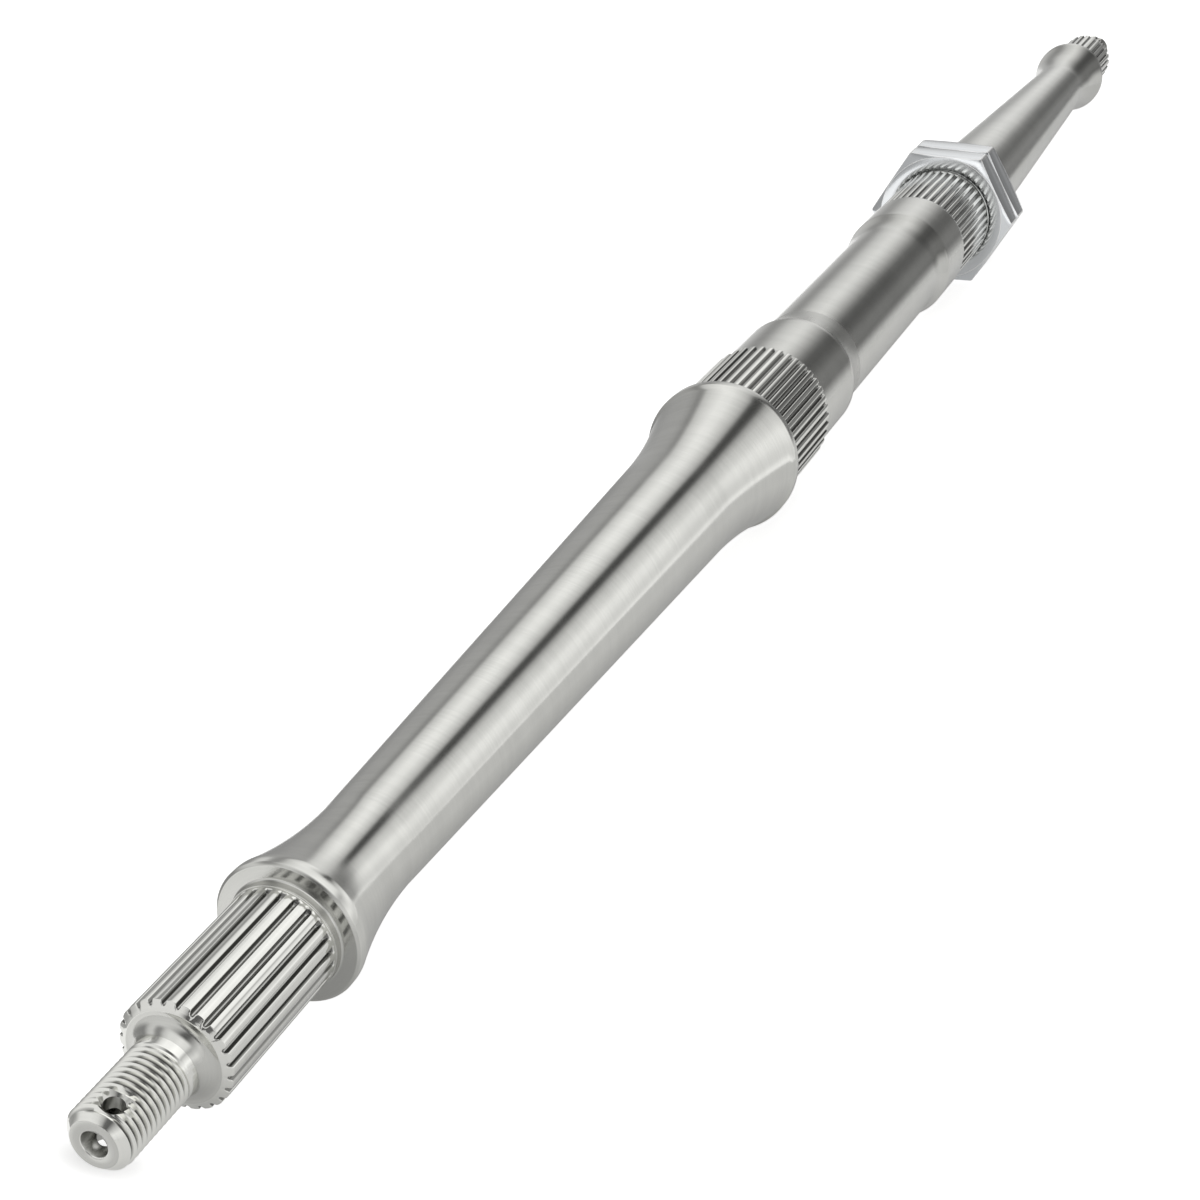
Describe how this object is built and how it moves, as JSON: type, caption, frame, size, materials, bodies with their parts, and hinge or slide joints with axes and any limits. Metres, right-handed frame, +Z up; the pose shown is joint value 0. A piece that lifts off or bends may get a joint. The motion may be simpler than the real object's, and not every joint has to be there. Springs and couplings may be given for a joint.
{
  "type": "axle shaft",
  "caption": "Solid tapered axle shaft with splined and threaded wheel ends, flared collars, a hub flange and its spline, turned bearing seats and hexagonal lock nuts.",
  "frame": {"origin": "on the shaft's axis, midway between its two tips", "axes": "+Y along the shaft's axis from the flange's end to the lock nuts' end, +Z up and square to an upper flat of both lock nuts, +X to the side. The shaft lies level, with its lowest points on the lock nuts' lower flats."},
  "size_m": [0.0578, 0.92, 0.05],
  "materials": {
    "turned_steel": "satin turned steel, bare",
    "zinc_plated": "bright bluish zinc plate"
  },
  "bodies": {
    "axle": {"axle_shaft": "turned_steel"},
    "inner_nut": {"inner_lock_nut": "zinc_plated"},
    "outer_nut": {"outer_lock_nut": "zinc_plated"}
  },
  "joints": [
    {"name": "inner_nut_travel", "type": "slide", "parent": "axle", "child": "inner_nut", "axis": [0, 1, 0], "range_m": [0, 0.0075]},
    {"name": "outer_nut_travel", "type": "slide", "parent": "inner_nut", "child": "outer_nut", "axis": [0, 1, 0], "range_m": [0, 0.0075]}
  ]
}
